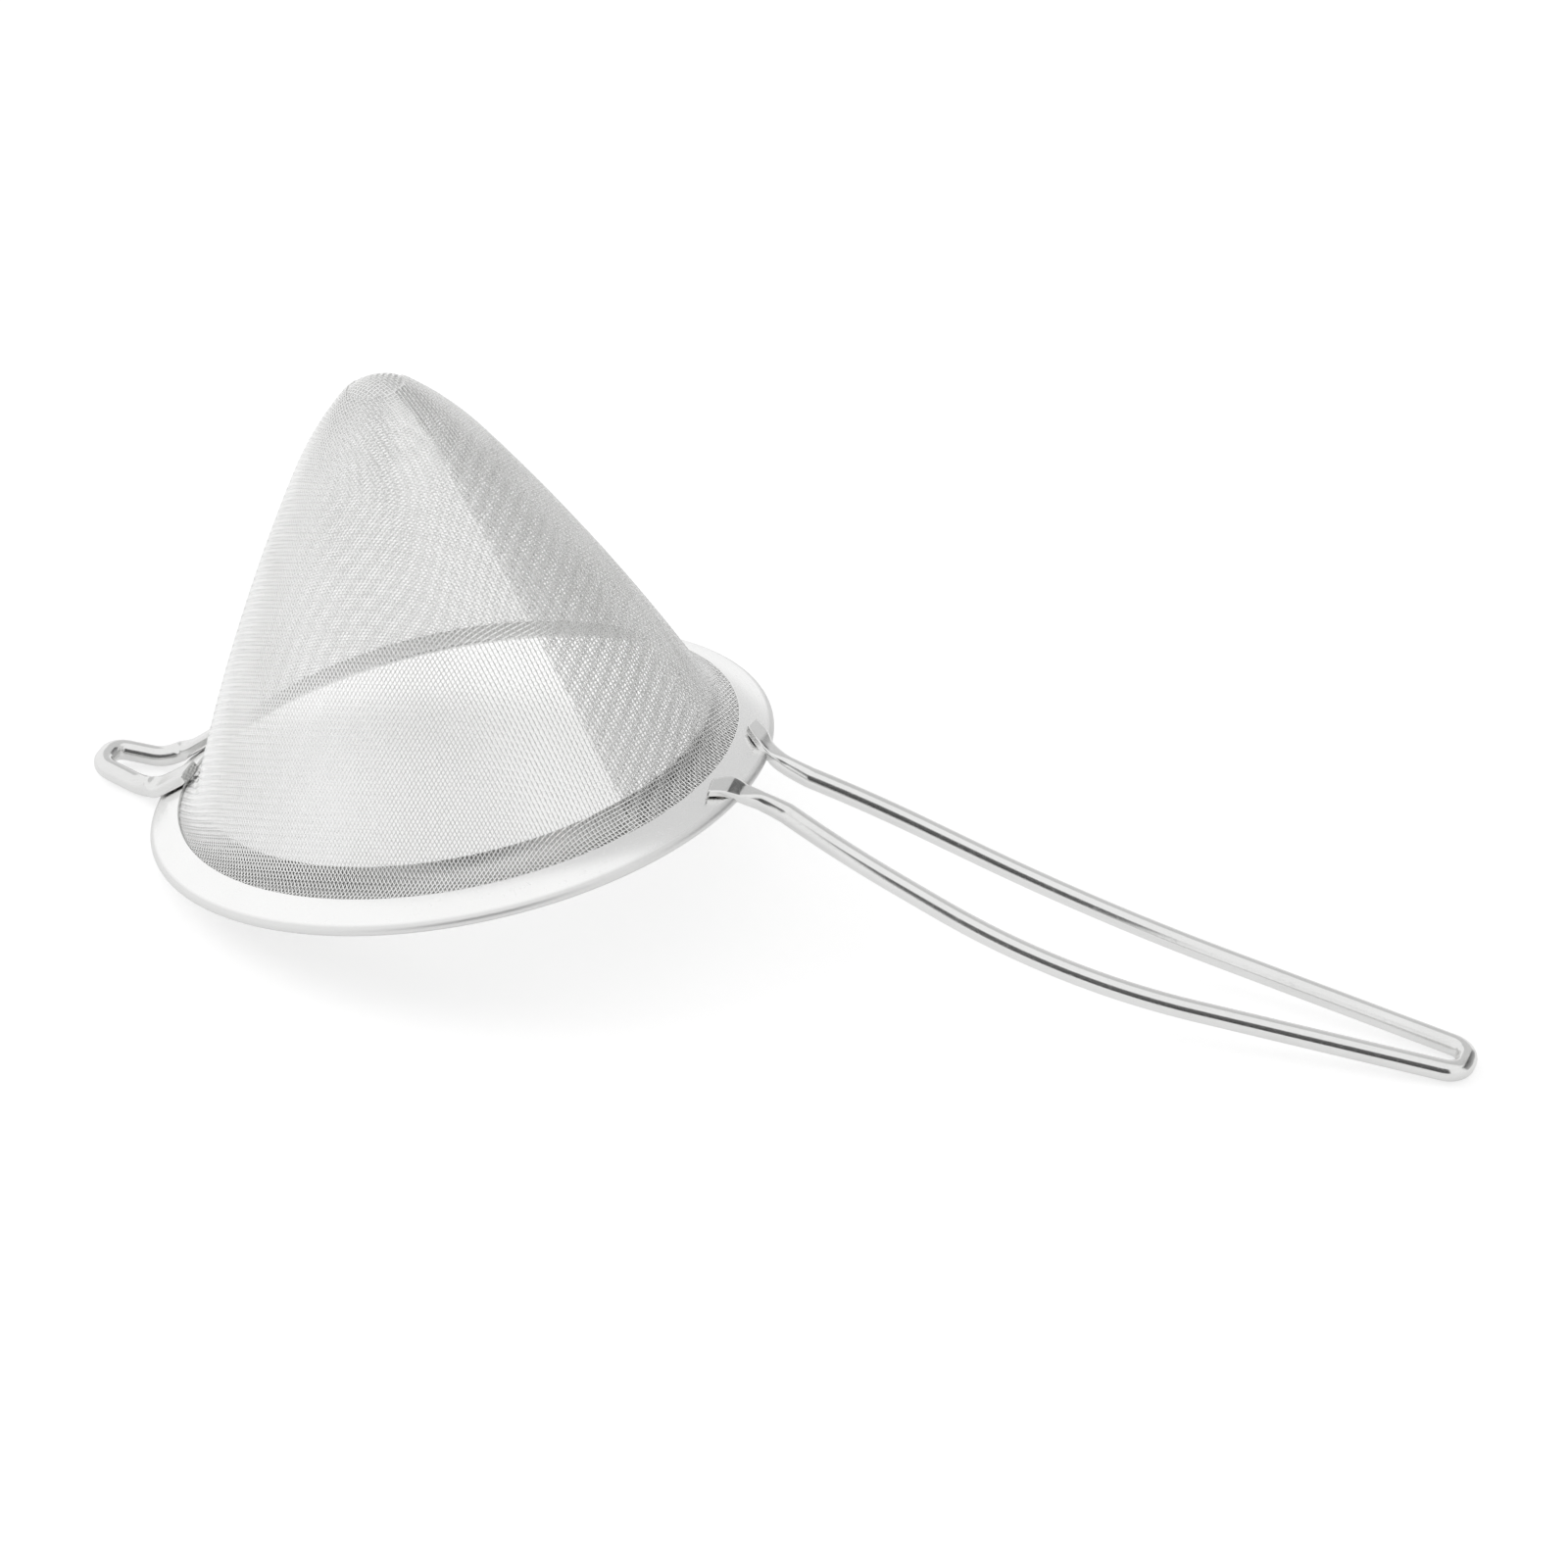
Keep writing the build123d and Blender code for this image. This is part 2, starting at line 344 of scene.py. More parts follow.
# The support ring's darker colour is painted shade for the ring, which lies in shade under the band and
# behind the cloth.
SHADED_RING_STEEL = SteelFinish("ring_steel_painted_shade", "ring_steel", (0.6, 0.6, 0.59), (0.46, 0.46, 0.45),
                         0.26, 0.14, Grain.SPUN, 7000.0, 0.003)
CLOTH_STEEL = SteelFinish("cloth_wire_bright", "wire_cloth", (0.95, 0.95, 0.945), (0.85, 0.85, 0.84),
                          0.12, 0.1, Grain.MATT, 1500.0, 0.001, 90.0)
WIRE_STEEL = SteelFinish("bent_wire_tumbled", "wire_steel", (0.82, 0.82, 0.815), (0.7, 0.7, 0.69),
                         0.13, 0.08, Grain.DRAWN, 4000.0, 0.0015)
WELD_STEEL = SteelFinish("weld_dull", "weld_steel", (0.4, 0.39, 0.38), (0.24, 0.22, 0.2),
                         0.45, 0.2, Grain.MATT, 2500.0, 0.02)


@dataclass(frozen=True)
class ClothWall:
    """The half section of the cloth's middle face, from the round tip out to the rim."""

    rim_radius: float = 45.0
    fold_radius: float = 0.755
    cloth_height: float = 0.335
    slope: float = 27.3
    skirt_width: float = 5.53
    flare_radius: float = 5.0
    base_angle: float = 66.8
    shoulder_angle: float = 57.8
    shoulder_radius: float = 51.3
    tip_angle: float = 42.4
    tip_radius: float = 7.6
    depth: float = 0.15

    def on_slope(self, inward: float, height: float) -> tuple[float, float]:
        """A point of the rim's half section.

        Args:
            inward: the distance in from the fold's middle along the slope.
            height: the distance up along the slope's normal.

        Returns:
            Its distance from the axis and its height.
        """
        slope = math.radians(self.slope)
        return (self.rim_radius - self.fold_radius - inward * math.cos(slope) + height * math.sin(slope),
                self.fold_radius + inward * math.sin(slope) + height * math.cos(slope))

    def arcs(self) -> list[tuple[tuple[float, float], float, float, float, int]]:
        """The arcs of the middle face, from the tip down.

        Returns:
            For each arc its centre, radius, first and last wall angle in degrees, and its side,
            which is 1 where the wall bulges out and -1 where it is hollow.
        """
        def along(angle: float) -> tuple[float, float]:
            """The sine and the cosine of an angle in degrees."""
            return math.sin(math.radians(angle)), math.cos(math.radians(angle))

        foot = self.on_slope(self.skirt_width, self.cloth_height)
        across, up = along(self.slope)
        flare = (foot[0] + self.flare_radius * across, foot[1] + self.flare_radius * up)
        base, shoulder, tip = along(self.base_angle), along(self.shoulder_angle), along(self.tip_angle)
        start = (flare[0] - self.flare_radius * base[0], flare[1] - self.flare_radius * base[1])
        reach = start[0] - self.shoulder_radius * (shoulder[0] - tip[0]) - self.tip_radius * tip[0]
        radius = reach / (base[0] - shoulder[0])
        wall = (start[0] - radius * base[0], start[1] - radius * base[1])
        step = radius - self.shoulder_radius
        bend = (wall[0] + step * shoulder[0], wall[1] + step * shoulder[1])
        top = (0.0, bend[1] + (self.shoulder_radius - self.tip_radius) * tip[1])
        return [(top, self.tip_radius - self.depth, 0.0, self.tip_angle, 1),
                (bend, self.shoulder_radius - self.depth, self.tip_angle, self.shoulder_angle, 1),
                (wall, radius - self.depth, self.shoulder_angle, self.base_angle, 1),
                (flare, self.flare_radius + self.depth, self.base_angle, self.slope, -1)]


class Unrolled:
    """The cloth's middle face laid flat as a fan, the way a cone unrolls."""

    def __init__(self, wall: ClothWall, fan_share: float) -> None:
        """Measures the wall.

        Args:
            wall: the half section.
            fan_share: the fan's angle over a full turn.
        """
        self.wall = wall
        self.share = fan_share
        self.arcs = wall.arcs()
        self.lengths = [radius * math.radians(abs(last - first))
                        for _, radius, first, last, _ in self.arcs]
        self.cap_length = self.lengths[0] + self.lengths[1]
        centre, radius, _, last, _ = self.arcs[1]
        self.cap_reach = (centre[0] + radius * math.sin(math.radians(last))) / fan_share

    def station(self, length: float) -> tuple[float, float, float]:
        """Where the middle face is at a distance from the tip.

        Args:
            length: the distance along the wall.

        Returns:
            Its distance from the axis, its height, and the wall's angle in radians.
        """
        left = length
        for (centre, radius, first, last, side), run in zip(self.arcs, self.lengths):
            if left <= run:
                angle = math.radians(first + (last - first) * left / run)
                return (centre[0] + side * radius * math.sin(angle),
                        centre[1] + side * radius * math.cos(angle), angle)
            left -= run
        centre, radius, _, last, side = self.arcs[-1]
        angle = math.radians(last)
        return (centre[0] + side * radius * math.sin(angle) + left * math.cos(angle),
                centre[1] + side * radius * math.cos(angle) - left * math.sin(angle), angle)

    def length_at(self, reach: float) -> float:
        """The distance from the tip along the wall.

        Args:
            reach: the distance from the fan's point.

        Returns:
            The distance.
        """
        if reach >= self.cap_reach:
            return self.cap_length + reach - self.cap_reach
        across = reach * self.share
        centre, radius, first, _, _ = self.arcs[1]
        edge = centre[0] + radius * math.sin(math.radians(first))
        if across >= edge:
            angle = math.asin((across - centre[0]) / radius)
            return self.lengths[0] + radius * (angle - math.radians(first))
        radius = self.arcs[0][1]
        return radius * math.asin(across / radius)

    def reach_at(self, length: float) -> float:
        """The distance from the fan's point.

        Args:
            length: the distance from the tip along the wall.

        Returns:
            The distance.
        """
        if length >= self.cap_length:
            return self.cap_reach + length - self.cap_length
        return self.station(length)[0] / self.share

    def seat(self, length: float, azimuth: float, lift: float) -> tuple[float, float, float]:
        """A point on the cloth in the rim's frame.

        Args:
            length: the distance from the tip along the wall.
            azimuth: the angle round the axis from the handle, in radians.
            lift: the height over the middle face.

        Returns:
            The point's coordinates.
        """
        across, height, angle = self.station(length)
        across += lift * math.sin(angle)
        return (across * math.cos(azimuth), across * math.sin(azimuth),
                height + lift * math.cos(angle))


@dataclass
class WovenCone:
    """The cone's plain woven wire cloth, rolled from a sheet with a lapped seam."""

    pitch: float = 0.6
    wire_radius: float = 0.09
    crimp: float = 0.07
    fan_share: float = 0.47
    seam_azimuth: float = -30.0
    lap_turn: float = 80.0
    lap_lift: float = 0.16
    lap_rise: float = 3.0
    ring_rise: float = 7.0
    warp_bearing: float = -14.5
    far_warp_bearing: float = 9.8
    weave_angle: float = 60.0
    turn_start: float = 2.0
    turn_width: float = 16.0
    far_turn_start: float = 5.0
    far_turn_width: float = 30.0
    join_width: float = 12.0
    sheet_reach_share: float = 1.25
    spare_crossings: int = 4
    edge_under_band: float = 2.6
    cap_edge: float = 4.2
    cap_size: float = 5.0
    points_per_piece: int = 15000
    wall: ClothWall = field(default_factory=ClothWall)

    def __post_init__(self) -> None:
        """Lays the wall flat and finds the fan's edges."""
        self.flat = Unrolled(self.wall, self.fan_share)
        slope_start = sum(self.flat.lengths)
        self.rim_reach = self.flat.reach_at(slope_start + self.wall.skirt_width - self.edge_under_band)
        self.band_reach = self.flat.reach_at(slope_start)
        self.tip_reach = self.flat.reach_at(self.cap_edge)
        self.seam_angle = self.seam_azimuth * self.fan_share
        self.lap_angle = self.lap_turn * self.fan_share
        self.first_edge = self.seam_angle + self.lap_angle
        self.last_edge = self.seam_angle - 360.0 * self.fan_share

    def polar(self, point: Vector) -> tuple[float, float]:
        """The reach and the angle in degrees of a point of the fan, from -270 to 90."""
        angle = math.degrees(math.atan2(point.y, point.x))
        return point.length, angle - 360.0 if angle > 90.0 else angle

    def margin(self, point: Vector) -> float:
        """How far a point of the fan is inside the cloth's edges.

        Args:
            point: the point of the fan.

        Returns:
            The distance to the nearest edge, negative outside.
        """
        reach, angle = self.polar(point)
        arc = reach * math.pi / 180.0
        return min(self.rim_reach - reach, reach - self.tip_reach,
                   (self.first_edge - angle) * arc, (angle - self.last_edge) * arc)

    def seam_lift(self, reach: float, angle: float) -> float:
        """How far the lapped seam raises or sinks the cloth.

        Args:
            reach: the distance from the fan's point.
            angle: the fan's angle in degrees.

        Returns:
            The lift, up for the upper layer and down for the lower one, which the ring bears.
        """
        arc = reach * math.pi / 180.0
        upper = smooth_step((angle - self.seam_angle) * arc / self.lap_rise + 1.0)
        lower = 1.0 - smooth_step((angle - self.last_edge - self.lap_angle) * arc / self.lap_rise)
        rise = smooth_step((reach - self.band_reach + self.ring_rise) / self.lap_rise)
        return self.lap_lift * (upper * (1.0 + rise) - lower * (1.0 - rise))

    def seat(self, point: Vector, side: int) -> tuple[float, float, float]:
        """Puts a point of the fan on the cone.

        Args:
            point: the point of the fan.
            side: 1 where the wire passes over, -1 under, 0 at its cut end.

        Returns:
            The point in the rim's frame.
        """
        reach, angle = self.polar(point)
        azimuth = math.radians(angle / self.fan_share)
        lift = side * self.crimp + self.seam_lift(reach, angle)
        return self.flat.seat(self.flat.length_at(reach), azimuth, lift)

    def warp_line(self, count: int) -> list[Vector]:
        """The crossings along the middle warp wire.

        Args:
            count: how many there are on each side of the fan's point.

        Returns:
            Their places, from the far end through the point to the seam's end.
        """
        def step(bearing: float) -> Vector:
            """One pitch along a bearing in degrees."""
            angle = math.radians(bearing)
            return Vector((math.cos(angle), math.sin(angle))) * self.pitch

        near = [step(self.warp_bearing) * k for k in range(count + 1)]
        far = [Vector((0.0, 0.0))]
        for k in range(count):
            turn = smooth_step((k * self.pitch - self.far_turn_start) / self.far_turn_width)
            bearing = self.warp_bearing + turn * (self.far_warp_bearing - self.warp_bearing)
            far.append(far[-1] - step(bearing))
        return far[:0:-1] + near

    def weft_line(self, count: int) -> tuple[list[Vector], list[Vector]]:
        """The crossings along a weft wire, near the seam's edge and far from it.

        Args:
            count: how many there are.

        Returns:
            The line that turns square to the seam, and the straight one.
        """
        warp = math.radians(self.warp_bearing)
        along = Vector((math.cos(warp), math.sin(warp)))
        off = Vector((math.sin(warp), -math.cos(warp)))
        lean = 1.0 / math.tan(math.radians(self.weave_angle))
        spare = self.spare_crossings + int(
            self.rim_reach * math.sin(math.radians(self.lap_angle)) / self.pitch)
        turning, across, shift = [], -spare * self.pitch, 0.0
        for _ in range(count + spare):
            turning.append((across, shift))
            share = smooth_step((across - self.turn_start) / self.turn_width)
            angle = math.radians(90.0 + share * (self.weave_angle - 90.0))
            across += self.pitch * math.sin(angle)
            shift += self.pitch * math.cos(angle)
        excess = turning[-1][1] - lean * turning[-1][0]
        near = [off * a + along * (s - excess) for a, s in turning]
        far = [off * a + along * (lean * a) for a, s in turning]
        return near, far

    def lattice(self) -> list[list[Vector]]:
        """Lays the whole sheet flat, where the two lines of the weft join in the middle.

        Returns:
            Its crossings, by weft number and warp number.
        """
        half = int(self.rim_reach * self.sheet_reach_share / self.pitch)
        warp = self.warp_line(half)
        near, far = self.weft_line(half)
        rows = []
        for index, start in enumerate(warp):
            share = smooth_step(0.5 + (index - half) * self.pitch / self.join_width)
            rows.append([start + n * share + f * (1.0 - share) for n, f in zip(near, far)])
        return rows

    def runs(self, points: list[Vector], parity: int) -> list[list[tuple[float, float, float]]]:
        """Cuts one wire at the cloth's edges.

        Args:
            points: its crossings in the fan.
            parity: 0 or 1, for whether it starts over or under.

        Returns:
            The stretches of the wire inside the edges, in the rim's frame.
        """
        margins = [self.margin(p) for p in points]
        runs, run = [], []
        for k, (point, margin) in enumerate(zip(points, margins)):
            crossed = k and (margins[k - 1] > 0) != (margin > 0)
            if crossed:
                share = margins[k - 1] / (margins[k - 1] - margin)
                run.append(self.seat(points[k - 1].lerp(point, share), 0))
            if margin > 0:
                run.append(self.seat(point, 1 if (k + parity) % 2 else -1))
            elif run:
                runs.append(run)
                run = []
        if run:
            runs.append(run)
        return [r for r in runs if len(r) > 2]

    def cap_wires(self) -> list[list[list[tuple[float, float, float]]]]:
        """Makes the square weave of the round tip.

        Returns:
            The warp's wires and the weft's, each wire as its points in the rim's frame.
        """
        count = int(self.cap_size / self.pitch)
        numbers = range(-count, count + 1)
        families = []
        for quarter in (0.0, math.pi / 2):
            wires = []
            for row in numbers:
                wire = []
                for column in numbers:
                    across, along = row * self.pitch, column * self.pitch
                    length = math.hypot(across, along)
                    if length > self.cap_size:
                        continue
                    side = 1 if (row + column + (quarter > 0)) % 2 else -1
                    azimuth = math.atan2(along, across) + quarter + math.radians(self.seam_azimuth)
                    wire.append(self.flat.seat(length, azimuth, side * self.crimp - self.lap_lift))
                if len(wire) > 2:
                    wires.append(wire)
            families.append(wires)
        return families

    def piece(self, name: str, wires: list[list[tuple[float, float, float]]],
              rim: RimFrame) -> bpy.types.Object:
        """Makes one curve object of many wires.

        Args:
            name: the piece's name.
            wires: each wire's points in the rim's frame.
            rim: the rim's frame.

        Returns:
            The new object.
        """
        curve = bpy.data.curves.new(name, "CURVE")
        curve.dimensions = "3D"
        curve.bevel_depth = self.wire_radius * MM
        curve.bevel_resolution = 1
        curve.use_fill_caps = True
        for wire in wires:
            spline = curve.splines.new("POLY")
            spline.points.add(len(wire) - 1)
            for point, place in zip(spline.points, wire):
                point.co = (*rim.place(*place), 1.0)
        curve.materials.append(CLOTH_STEEL.material(rim))
        return linked(name, curve)

    def build(self, rim: RimFrame) -> list[bpy.types.Object]:
        """Weaves the cloth.

        Args:
            rim: the rim's frame.

        Returns:
            The cloth's pieces.
        """
        rows = self.lattice()
        columns = [list(column) for column in zip(*rows)]
        caps = self.cap_wires()
        pieces = []
        for name, lines, cap in (("cloth_warp", columns, caps[0]), ("cloth_weft", rows, caps[1])):
            wires = list(cap)
            for number, line in enumerate(lines):
                wires += self.runs(line, (number + (name == "cloth_weft")) % 2)
            batch, held, batches = [], 0, []
            for wire in wires:
                if held + len(wire) > self.points_per_piece:
                    batches.append(batch)
                    batch, held = [], 0
                batch.append(wire)
                held += len(wire)
            batches.append(batch)
            pieces += [self.piece(f"{name}_{number}", batch, rim)
                       for number, batch in enumerate(batches, start=1)]
        for piece in pieces:
            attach(piece, "root")
            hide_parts("mesh_cone")
        return pieces


@dataclass(frozen=True)
class Section:
    """One cross section of a bent wire, in the rim's frame."""

    centre: Vector
    left: Vector
    up: Vector
    power: float

    def mirrored(self) -> "Section":
        """The same section on the other leg."""
        flip = Vector((1.0, -1.0, 1.0))
        return Section(self.centre * flip, self.left * flip, self.up * flip, self.power)

    def shrunk(self, inset: float, step: Vector) -> "Section":
        """A section with its edges set in, moved by a step."""
        return Section(self.centre + step, self.left * (1.0 - inset / self.left.length),
                       self.up * (1.0 - inset / self.up.length), self.power)

    def ring(self, shape: bmesh.types.BMesh, rim: RimFrame, sides: int) -> list[bmesh.types.BMEdge]:
        """Draws the section.

        Args:
            shape: the mesh.
            rim: the rim's frame.
            sides: how many points it has.

        Returns:
            The section's edges.
        """
        made = bmesh.ops.create_circle(shape, cap_ends=False, segments=sides, radius=1.0)
        for vert in made["verts"]:
            wide, high = vert.co.x, vert.co.y
            swell = (abs(wide) ** self.power + abs(high) ** self.power) ** (-1.0 / self.power)
            vert.co = rim.place(*(self.centre + self.left * wide * swell + self.up * high * swell))
        return list({edge for vert in made["verts"] for edge in vert.link_edges})


@dataclass(frozen=True)
class PressedTab:
    """The flat end of a wire on the rim's slope, from its cut end out towards the round wire.

    Each station is its right and left edge in plan, its middle's height over the tab's
    underside, its thickness, and how square its corners are.
    """

    azimuth: float
    stations: tuple[tuple[float, float, float, float, float, float, float], ...]
    gap: float = 0.15
    chamfer: float = 0.16

    def sections(self, wall: ClothWall) -> list[Section]:
        """Lays the tab on the rim's slope.

        Args:
            wall: the cloth's wall, for the slope.

        Returns:
            The tab's sections, with its cut end's chamfer first.
        """
        turn, slope = math.radians(self.azimuth), math.radians(wall.slope)
        normal = Vector((math.sin(slope) * math.cos(turn), math.sin(slope) * math.sin(turn),
                         math.cos(slope)))
        height = wall.fold_radius + self.gap
        across = wall.rim_radius - wall.fold_radius + height * math.sin(slope)
        origin = Vector((across * math.cos(turn), across * math.sin(turn),
                         wall.fold_radius + height * math.cos(slope)))

        def on_tab(x: float, y: float) -> Vector:
            """The point of the tab's underside at a place in plan."""
            down = (normal.x * (x - origin.x) + normal.y * (y - origin.y)) / normal.z
            return Vector((x, y, origin.z - down))

        sections = []
        for right_x, right_y, left_x, left_y, lift, thick, power in self.stations:
            right, left = on_tab(right_x, right_y), on_tab(left_x, left_y)
            sections.append(Section((right + left) / 2 + normal * lift, (left - right) / 2,
                                    normal * thick / 2, power))
        back = (sections[0].centre - sections[1].centre).normalized()
        return [sections[0].shrunk(self.chamfer, back * self.chamfer)] + sections


@dataclass
class BentWire:
    """A round wire bent into a loop, with both its ends pressed flat into tabs."""

    name: str
    node: str
    corners: tuple[tuple[float, float, float], ...]
    radii: tuple[float, ...]
    tab: PressedTab
    radius: float = 1.5
    step: float = 1.5
    run_steps: int = 4
    bend_step: float = 10.0
    sides: int = 48
    blend_steps: int = 6

    def line(self) -> list[tuple[Vector, Vector]]:
        """The wire's centre line round its bends.

        Returns:
            Places and headings from the near leg's root to the far leg's.
        """
        leg = [Vector(corner) for corner in self.corners]
        corners = leg + [corner * Vector((1.0, -1.0, 1.0)) for corner in reversed(leg)]
        radii = self.radii + self.radii[::-1]
        line = [(corners[0], (corners[1] - corners[0]).normalized())]
        for before, corner, after, radius in zip(corners, corners[1:], corners[2:], radii):
            come, leave = (corner - before).normalized(), (after - corner).normalized()
            turn = come.angle(leave)
            start = corner - come * radius * math.tan(turn / 2)
            middle = corner + (leave - come).normalized() * radius / math.cos(turn / 2)
            spin = come.cross(leave).normalized()
            count = max(math.ceil(turn * radius / self.step),
                        math.ceil(math.degrees(turn) / self.bend_step))
            self.run(line, start)
            for index in range(1, count + 1):
                bend = Matrix.Rotation(turn * index / count, 3, spin)
                line.append((middle + bend @ (start - middle), bend @ come))
        self.run(line, corners[-1])
        return line

    def run(self, line: list[tuple[Vector, Vector]], end: Vector) -> None:
        """Adds a straight run in steps.

        Args:
            line: the line, which grows.
            end: where the run ends.
        """
        last, heading = line[-1]
        count = max(1, math.ceil((end - last).length / (self.run_steps * self.step)))
        line.extend((last.lerp(end, index / count), heading) for index in range(1, count + 1))

    def wire_sections(self) -> list[Section]:
        """Sets a round section square to the wire at each place of its line.

        Returns:
            The sections.
        """
        sections = []
        for place, heading in self.line():
            left = Vector((0.0, 0.0, 1.0)).cross(heading).normalized()
            sections.append(Section(place, left * self.radius,
                                    heading.cross(left) * self.radius, 2.0))
        return sections

    def blended(self, tab: list[Section], wire: list[Section]) -> list[Section]:
        """Carries the tab over into the wire on one smooth curve.

        Args:
            tab: the tab's sections, its chamfer first.
            wire: the wire's first two sections.

        Returns:
            The sections from the cut end to just before the wire's first.
        """
        knots = [tab[1]] + tab[1:] + wire
        sections = tab[:1]
        for first, start, end, last in zip(knots, knots[1:], knots[2:], knots[3:]):
            for index in range(self.blend_steps):
                share = index / self.blend_steps
                weights = (share * (share * (2.0 - share) - 1.0) / 2,
                           (share * share * (3.0 * share - 5.0) + 2.0) / 2,
                           share * (share * (4.0 - 3.0 * share) + 1.0) / 2,
                           share * share * (share - 1.0) / 2)

                def mixed(part: str) -> Vector:
                    """The weighted sum of one vector of the four knots."""
                    return sum((getattr(knot, part) * weight for knot, weight
                                in zip((first, start, end, last), weights)), Vector())

                power = start.power + (end.power - start.power) * share
                sections.append(Section(mixed("centre"), mixed("left"), mixed("up"), power))
        return sections

    def build(self, rim: RimFrame, wall: ClothWall) -> bpy.types.Object:
        """Makes the wire.

        Args:
            rim: the rim's frame.
            wall: the cloth's wall, for the rim's slope.

        Returns:
            The new piece, which stands for the CAD's wire.
        """
        wire = self.wire_sections()
        near = self.blended(self.tab.sections(wall), wire[:2])
        sections = near + wire + [section.mirrored() for section in reversed(near)]
        shape = bmesh.new()
        rings = [section.ring(shape, rim, self.sides) for section in sections]
        for first, last in zip(rings, rings[1:]):
            bmesh.ops.bridge_loops(shape, edges=first + last)
        for ring in (rings[0], rings[-1]):
            bmesh.ops.contextual_create(shape, geom=ring)
        bmesh.ops.recalc_face_normals(shape, faces=shape.faces)
        for face in shape.faces:
            face.smooth = len(face.verts) == 4
        piece = meshed(self.name, shape, WIRE_STEEL.material(rim))
        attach(piece, "root")
        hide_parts(self.node)
        return piece


HANDLE_LOOP = BentWire(
    "handle_loop", "handle_wire",
    ((50.2, -5.22, -2.81), (57.7, -7.0, -7.725), (87.25, -9.45, -26.623), (140.0, -3.05, -45.096)),
    (140.0, 130.0, 2.85),
    PressedTab(-8.9, ((41.2, -10.65, 41.0, -7.65, 0.55, 1.1, 12.0),
                      (43.1, -9.2, 43.0, -5.3, 0.55, 1.1, 12.0),
                      (44.9, -7.7, 45.1, -4.55, -0.45, 1.6, 5.0),
                      (47.3, -6.6, 47.3, -4.2, -0.95, 2.7, 2.2))))
HOOK_LOOP = BentWire(
    "hook_loop", "hook_wire",
    ((-46.3, -5.3, 2.005), (-48.5, -4.25, 1.605), (-55.2, -2.65, 4.205)),
    (6.0, 2.5),
    PressedTab(187.6, ((-38.2, -4.8, -38.7, -8.65, 0.8, 1.6, 8.0),
                       (-41.3, -4.35, -41.7, -8.3, 0.8, 1.6, 8.0),
                       (-43.9, -4.0, -44.5, -7.8, 0.9, 1.8, 5.0))), step=0.8)


@dataclass
class SpunBand:
    """The outer band, spun round the rim and folded under at its edge."""

    wall: ClothWall
    sheet: float = 0.4
    width: float = 4.63
    lip: float = 2.2
    rounding: float = 0.07
    corner_share: float = 0.3
    fold_ease: float = 0.5
    turns: int = 320
    arc_steps: int = 16
    sharp_angle: float = 50.0
    weld_reach: float = 0.001

    def profile(self) -> list[tuple[float, float]]:
        """Draws the band's closed half section.

        Returns:
            Its points, as distances from the axis and heights.
        """
        outer = self.wall.fold_radius
        inner = outer - self.sheet
        soft = self.rounding
        flat = [(self.width, inner), (self.width, outer - soft),
                (self.width - self.corner_share * soft, outer - self.corner_share * soft),
                (self.width - soft, outer), (2.0 * self.fold_ease, outer), (self.fold_ease, outer)]
        lip = [(self.lip - soft, -outer), (self.lip, soft - outer), (self.lip, -inner)]

        def fold(radius: float, back: int) -> list[tuple[float, float]]:
            """Half a circle round the fold, backwards where back is -1."""
            turns = [math.pi * step / self.arc_steps for step in range(self.arc_steps + 1)][::back]
            return [(-radius * math.sin(turn), radius * math.cos(turn)) for turn in turns]

        return [self.wall.on_slope(*place) for place in flat + fold(outer, 1) + lip + fold(inner, -1)]

    def fold_share(self, across: float, up: float) -> float:
        """How far the fold dulls the band and darkens it with painted shade.

        Args:
            across: a place's distance from the axis.
            up: its height.

        Returns:
            One on the fold and zero on the slope.
        """
        slope = math.radians(self.wall.slope)
        inward = ((self.wall.rim_radius - self.wall.fold_radius - across) * math.cos(slope)
                  + (up - self.wall.fold_radius) * math.sin(slope))
        return smooth_step(1.0 - inward / self.fold_ease)

    def build(self, rim: RimFrame) -> bpy.types.Object:
        """Spins the band, which stands for the CAD's.

        Args:
            rim: the rim's frame.

        Returns:
            The new piece.
        """
        shape = bmesh.new()
        wear = shape.verts.layers.float.new(FOLD_SHARE)
        verts = [shape.verts.new((across, 0.0, up)) for across, up in self.profile()]
        edges = [shape.edges.new(pair) for pair in zip(verts, verts[1:] + verts[:1])]
        bmesh.ops.spin(shape, geom=verts + edges, cent=(0.0, 0.0, 0.0), axis=(0.0, 0.0, 1.0),
                       dvec=(0.0, 0.0, 0.0), angle=math.tau, steps=self.turns, use_merge=True)
        bmesh.ops.remove_doubles(shape, verts=shape.verts, dist=self.weld_reach)
        bmesh.ops.recalc_face_normals(shape, faces=shape.faces)
        # Marks the fold, where the band's material paints shade and dulls the gloss.
        for vert in shape.verts:
            vert[wear] = self.fold_share(math.hypot(vert.co.x, vert.co.y), vert.co.z)
        for face in shape.faces:
            face.smooth = True
        for edge in shape.edges:
            edge.smooth = edge.calc_face_angle() < math.radians(self.sharp_angle)
        bmesh.ops.transform(shape, matrix=rim.matrix, verts=shape.verts)
        piece = meshed("spun_band", shape, BAND_STEEL.material(rim))
        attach(piece, "root")
        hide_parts("clamp_band")
        return piece


